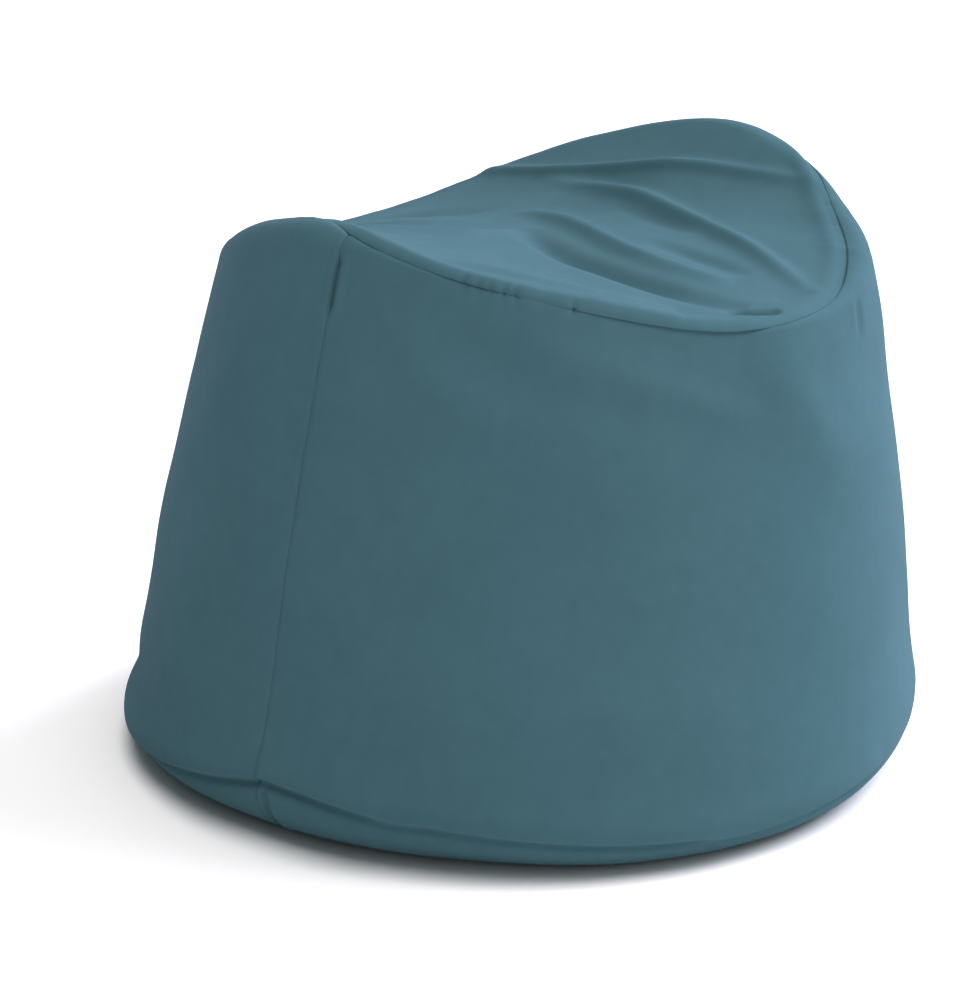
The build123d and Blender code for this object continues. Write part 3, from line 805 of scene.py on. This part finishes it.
def liner_piece(name, points, node, flip=False):
    """Sheet of liner cotton on a grid of points, standing for a CAD node."""
    made = put_mesh(name, points, grid_faces(points.shape[0], points.shape[1], flip=flip))
    made.data.materials.append(liner_cotton)
    thicken(made, liner_thickness)
    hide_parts(node)
    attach(made, "bag")


liner_seat_move = np.minimum(seat_shape["relief"], 0.0) - liner_inset
liner_seat_points = seat_shape["points"] + seat_shape["normals"] * liner_seat_move[..., None]
liner_piece("liner_seat_cloth", thinned(liner_seat_points, 2), "liner_seat_panel")
for side, sign in (("front", -1.0), ("rear", 1.0)):
    lower = dict(side_shapes[side], relief=np.minimum(side_shapes[side]["relief"], 0.0))
    liner_points = thinned(side_cloth(lower, liner_inset), 2)
    liner_piece(f"liner_{side}_cloth", liner_points, f"liner_{side}_panel")
    half_points = base_half(sign, base_radius - liner_base["drawn_in"], liner_slot, liner_base["rise"],
                            liner_base["floor"], liner_base["rows"], liner_base["columns"])
    liner_piece(f"liner_base_{side}_cloth", half_points, f"liner_base_{side}",
                flip=sign < 0)


# Zips: woven tapes sewn to the base halves, with moulded teeth, stops and a slider; the cover's has a pull.
# The cover zip is dyed to match the velour, the liner zip is left natural, both sliders are lacquered metal.
tape_columns = 160
tape_rows = 8
ripple_height = 0.00008
ripple_length = 0.0024


def tape_material(name, colour):
    """Woven polyester tape: close ribs along its length, darker between them."""
    made, tree, shader = node_material(name)
    where = add_node(tree, "ShaderNodeTexCoord").outputs["Object"]
    ribs = add_node(tree, "ShaderNodeTexWave", [(where, "Vector")], Scale=420.0, Distortion=0.6, Detail=1.0)
    ribs.bands_direction = "DIAGONAL"
    tint = ramp(tree, ribs.outputs["Fac"], [(0.1, tuple(0.7 * c for c in colour)), (0.8, colour)])
    tree.links.new(tint, shader.inputs["Base Color"])
    bump = add_node(tree, "ShaderNodeBump", [(ribs.outputs["Fac"], "Height")], Strength=0.4, Distance=0.0002)
    tree.links.new(bump.outputs["Normal"], shader.inputs["Normal"])
    shader.inputs["Roughness"].default_value = 0.85
    return made


def moulded_material(name, colour, metal):
    """Moulded plastic or lacquered metal: a little uneven in shade and gloss, as handled parts are."""
    made, tree, shader = node_material(name)
    where = add_node(tree, "ShaderNodeTexCoord").outputs["Object"]
    cloud = add_node(tree, "ShaderNodeTexNoise", [(where, "Vector")], Scale=260.0, Detail=4.0)
    tint = ramp(tree, cloud.outputs["Fac"], [(0.3, tuple(0.8 * c for c in colour)), (0.7, colour)])
    tree.links.new(tint, shader.inputs["Base Color"])
    rough = add_node(tree, "ShaderNodeMapRange", [(cloud.outputs["Fac"], "Value")], To_Min=0.30, To_Max=0.55)
    tree.links.new(rough.outputs["Result"], shader.inputs["Roughness"])
    bump = add_node(tree, "ShaderNodeBump", [(cloud.outputs["Fac"], "Height")], Strength=0.1, Distance=0.0002)
    tree.links.new(bump.outputs["Normal"], shader.inputs["Normal"])
    shader.inputs["Metallic"].default_value = metal
    return made


def tape_strip(name, node, material):
    """Flat strip on the node's box: a grid along the tape, with a slight wave from the stitching."""
    low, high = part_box(node)
    along = np.linspace(low[0], high[0], tape_columns)
    across = np.linspace(low[1], high[1], tape_rows)
    x, y = np.meshgrid(along, across, indexing="ij")
    ripple = ripple_height * np.sin(x / ripple_length)
    strip = np.stack([x, y, low[2] + ripple], -1)
    made = put_mesh(name, strip, grid_faces(tape_columns, tape_rows, flip=True))
    made.data.materials.append(material)
    thicken(made, high[2] - low[2])
    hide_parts(node)
    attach(made, "bag")


cover_tape = tape_material("cover_zip_tape", (0.040, 0.080, 0.100))
liner_tape = tape_material("liner_zip_tape", (0.70, 0.69, 0.65))
for side in ("front", "rear"):
    tape_strip(f"zip_tape_{side}_cloth", f"zip_tape_{side}", cover_tape)
    tape_strip(f"liner_zip_tape_{side}_cloth", f"liner_zip_tape_{side}", liner_tape)
cover_teeth = moulded_material("cover_zip_teeth", (0.040, 0.080, 0.100), 0.0)
liner_teeth = moulded_material("liner_zip_teeth", (0.72, 0.71, 0.68), 0.0)
lacquer = moulded_material("zip_lacquer", (0.050, 0.090, 0.110), 0.6)
hard_finishes = {
    "zip_teeth_front": cover_teeth, "zip_teeth_rear": cover_teeth,
    "zip_bottom_stop": cover_teeth, "zip_top_stops": cover_teeth,
    "zip_slider": lacquer, "zip_pull": lacquer,
    "liner_zip_teeth_front": liner_teeth, "liner_zip_teeth_rear": liner_teeth,
    "liner_zip_bottom_stop": liner_teeth, "liner_zip_top_stops": liner_teeth,
    "liner_zip_slider": lacquer,
}
for node, finish in hard_finishes.items():
    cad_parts[node].data.materials.clear()
    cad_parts[node].data.materials.append(finish)


# Studio: a plain white floor that fades into the background and three broad lamps: one from the right,
# one overhead and a bluer one from the right and behind, in a pale surround that is brighter on that side.
# The camera stands where the photograph was taken from.
floor_half = 30.0
floor_drop = 0.0004


def floor_material():
    """Matt white floor, paler to the camera so that it reads as white, and clear from below."""
    made, tree, shader = node_material("studio_floor")
    grain = add_node(tree, "ShaderNodeTexNoise", Scale=3.0, Detail=2.0)
    tint = ramp(tree, grain.outputs["Fac"], [(0.3, (0.94, 0.94, 0.94)), (0.7, (0.96, 0.96, 0.96))])
    tree.links.new(tint, shader.inputs["Base Color"])
    shader.inputs["Roughness"].default_value = 0.9
    shader.inputs["Specular IOR Level"].default_value = 0.0
    path = add_node(tree, "ShaderNodeLightPath")
    pale = add_node(tree, "ShaderNodeBsdfDiffuse")
    pale.inputs["Color"].default_value = (1.11, 1.13, 1.10, 1)
    seen = add_node(tree, "ShaderNodeMixShader", [(path.outputs["Is Camera Ray"], 0)])
    tree.links.new(shader.outputs[0], seen.inputs[1])
    tree.links.new(pale.outputs[0], seen.inputs[2])
    clear = add_node(tree, "ShaderNodeBsdfTransparent")
    back = add_node(tree, "ShaderNodeNewGeometry")
    last = add_node(tree, "ShaderNodeMixShader", [(back.outputs["Backfacing"], 0)])
    tree.links.new(seen.outputs[0], last.inputs[1])
    tree.links.new(clear.outputs[0], last.inputs[2])
    tree.links.new(last.outputs[0], tree.nodes["Material Output"].inputs["Surface"])
    return made


floor_line = np.linspace(-floor_half, floor_half, 3)
floor_x, floor_y = np.meshgrid(floor_line, floor_line, indexing="ij")
floor = put_mesh("studio_floor", np.stack([floor_x, floor_y, 0 * floor_x - floor_drop], -1), grid_faces(3, 3))
floor.data.materials.append(floor_material())

world = bpy.data.worlds.new("studio")
bpy.context.scene.world = world
world.use_nodes = True
sky = world.node_tree
surround = sky.nodes["Background"]
surround.inputs["Color"].default_value = (1.0, 1.0, 1.0, 1)
sky_way = add_node(sky, "ShaderNodeTexCoord").outputs["Generated"]
to_lit_side = add_node(sky, "ShaderNodeVectorMath", [(sky_way, 0)], operation="DOT_PRODUCT")
to_lit_side.inputs[1].default_value = (0.66, -0.66, 0.36)
lit = add_node(sky, "ShaderNodeMapRange", [(to_lit_side.outputs["Value"], "Value")])
lit.interpolation_type = "SMOOTHSTEP"
lit.inputs["From Min"].default_value = -0.7
lit.inputs["From Max"].default_value = 0.9
lit.inputs["To Min"].default_value = 0.06
lit.inputs["To Max"].default_value = 0.50
sky.links.new(lit.outputs["Result"], surround.inputs["Strength"])
white = add_node(sky, "ShaderNodeBackground", Strength=1.0)
white.inputs["Color"].default_value = (1, 1, 1, 1)
sky_path = add_node(sky, "ShaderNodeLightPath")
mirrored = add_node(sky, "ShaderNodeMath", [(sky_path.outputs["Is Camera Ray"], 0),
                                            (sky_path.outputs["Is Glossy Ray"], 1)], operation="MAXIMUM")
sky_mix = add_node(sky, "ShaderNodeMixShader", [(mirrored.outputs[0], 0)])
sky.links.new(surround.outputs[0], sky_mix.inputs[1])
sky.links.new(white.outputs[0], sky_mix.inputs[2])
sky.links.new(sky_mix.outputs[0], sky.nodes["World Output"].inputs["Surface"])


def broad_lamp(name, from_way, power, spread, colour):
    """Distant lamp that shines from a direction, with a wide disc so that its shadows are soft."""
    data = bpy.data.lights.new(name, "SUN")
    data.energy = power
    data.angle = math.radians(spread)
    data.color = colour
    lamp = bpy.data.objects.new(name, data)
    bpy.context.scene.collection.objects.link(lamp)
    flat = math.hypot(from_way[0], from_way[1])
    compass = math.atan2(from_way[1], from_way[0]) + math.pi / 2
    lamp.rotation_euler = (math.atan2(flat, from_way[2]), 0.0, compass)


broad_lamp("key_lamp", (0.60, -0.54, 0.80), 1.5, 36.0, (1.05, 0.96, 1.10))
broad_lamp("top_lamp", (-0.07, -0.12, 1.0), 1.85, 46.0, (1.03, 0.98, 1.02))
broad_lamp("rim_lamp", (0.92, -0.22, 0.42), 2.2, 30.0, (0.98, 0.95, 1.22))

camera_turn = math.radians(-52.9368)
camera_tilt = math.radians(14.5012)
camera_gap = 2.3491
camera_target = np.array([0.0, 0.0, 0.33])
focal_pixels = 2278.58
picture = (980, 981)
axis_pixel = (520.875, 413.942)
back = np.array([
    math.sin(camera_turn) * math.cos(camera_tilt),
    -math.cos(camera_turn) * math.cos(camera_tilt),
    math.sin(camera_tilt),
])
right = np.array([math.cos(camera_turn), math.sin(camera_turn), 0.0])
above = np.cross(back, right)
off_x = (picture[0] / 2 - axis_pixel[0]) / focal_pixels
off_y = (picture[1] / 2 - axis_pixel[1]) / focal_pixels
look = -back + right * off_x - above * off_y
stretch = float(np.linalg.norm(look))
look = look / stretch
camera_data = bpy.data.cameras.new("camera")
camera_data.sensor_fit = "HORIZONTAL"
camera_data.sensor_width = 36.0
camera_data.lens = focal_pixels * stretch * 36.0 / picture[0]
camera_data.clip_end = 60.0
camera = bpy.data.objects.new("camera", camera_data)
bpy.context.scene.collection.objects.link(camera)
camera.location = camera_target + back * camera_gap
camera.rotation_euler = (math.acos(-look[2]), 0.0, math.atan2(look[1], look[0]) - math.pi / 2)
bpy.context.scene.camera = camera
bpy.context.scene.view_settings.view_transform = "Standard"
